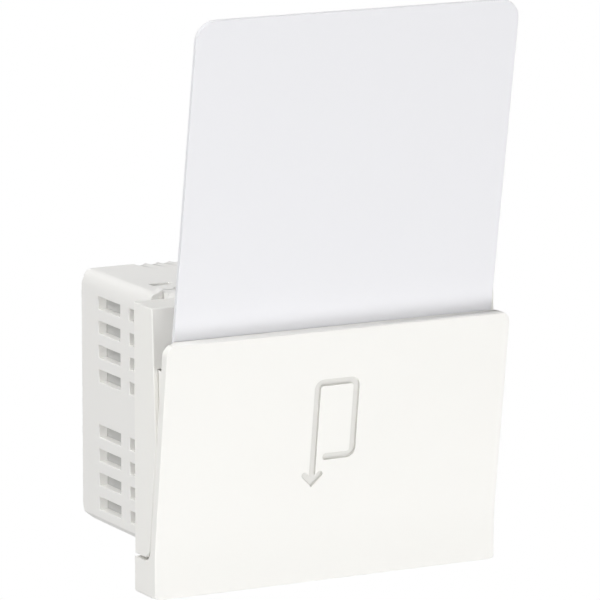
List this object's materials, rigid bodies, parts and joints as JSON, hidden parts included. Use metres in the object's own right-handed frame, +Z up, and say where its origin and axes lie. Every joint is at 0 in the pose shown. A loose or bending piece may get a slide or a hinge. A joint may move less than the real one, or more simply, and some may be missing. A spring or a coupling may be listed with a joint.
{
  "type": "key card switch",
  "caption": "Hotel key card switch: leaning front panel with a card standing in its slot, a sprung carriage that works a microswitch, and a vented box behind the wall plate.",
  "frame": {"origin": "middle of the seat plane, where the front rests on the wall plate, on the axis of the square flange", "axes": "+X to the right as seen from the room, +Y into the wall, +Z up"},
  "size_m": [0.0582, 0.0535, 0.0886],
  "materials": {
    "white_moulding": "satin white",
    "housing_moulding": "matt white",
    "card_plastic": "plain white card",
    "carriage_plastic": "light grey",
    "spring_steel": "bright spring steel",
    "zinc_steel": "zinc plated",
    "liner_sheet": "plain white sheet",
    "board_laminate": "green solder mask",
    "black_moulding": "black",
    "plunger_red": "red",
    "relay_blue": "blue",
    "film_yellow": "yellow",
    "can_sleeve": "dark blue sleeve",
    "varistor_blue": "blue dipped coat",
    "resistor_coat": "pale blue coat",
    "terminal_grey": "dark grey",
    "terminal_brass": "plain brass",
    "lamp_clear": "clear lamp lens",
    "guide_clear": "clear acrylic"
  },
  "bodies": {
    "base": {"front_panel": "white_moulding", "front_carrier": "white_moulding", "return_springs": "spring_steel", "card_leaf_springs": "spring_steel", "leaf_rivets": "zinc_steel", "mounting_neck": "housing_moulding", "rear_cover": "housing_moulding", "insulating_liners": "liner_sheet", "circuit_board": "board_laminate", "board_screws": "zinc_steel", "microswitch_body": "black_moulding", "power_relay": "relay_blue", "film_capacitor": "film_yellow", "electrolytic_capacitor": "can_sleeve", "varistor": "varistor_blue", "fuse_resistor": "resistor_coat", "bridge_rectifier": "black_moulding", "timer_chip": "black_moulding", "terminal_block": "terminal_grey", "terminal_clamps": "terminal_brass", "terminal_screws": "zinc_steel", "terminal_legs": "zinc_steel", "locator_led": "lamp_clear", "light_guide": "guide_clear"},
    "carriage": {"card_carriage": "carriage_plastic"},
    "card": {"key_card": "card_plastic"},
    "plunger": {"microswitch_plunger": "plunger_red"}
  },
  "joints": [
    {"name": "carriage_slide", "type": "slide", "parent": "base", "child": "carriage", "axis": [0, -0.1668, 0.986], "range_m": [0, 0.003], "stiffness_N_per_m": 4, "springref_m": 0.006, "deforming": ["return_springs"]},
    {"name": "card_slide", "type": "slide", "parent": "carriage", "child": "card", "axis": [0, -0.1668, 0.986], "range_m": [0, 0.045]},
    {"name": "plunger_slide", "type": "slide", "parent": "base", "child": "plunger", "axis": [0, 1, 0], "range_m": [-0.00075, 0]}
  ],
  "couplings": [
    {"joint": "plunger_slide", "follows": "carriage_slide", "ratio": -0.25}
  ]
}
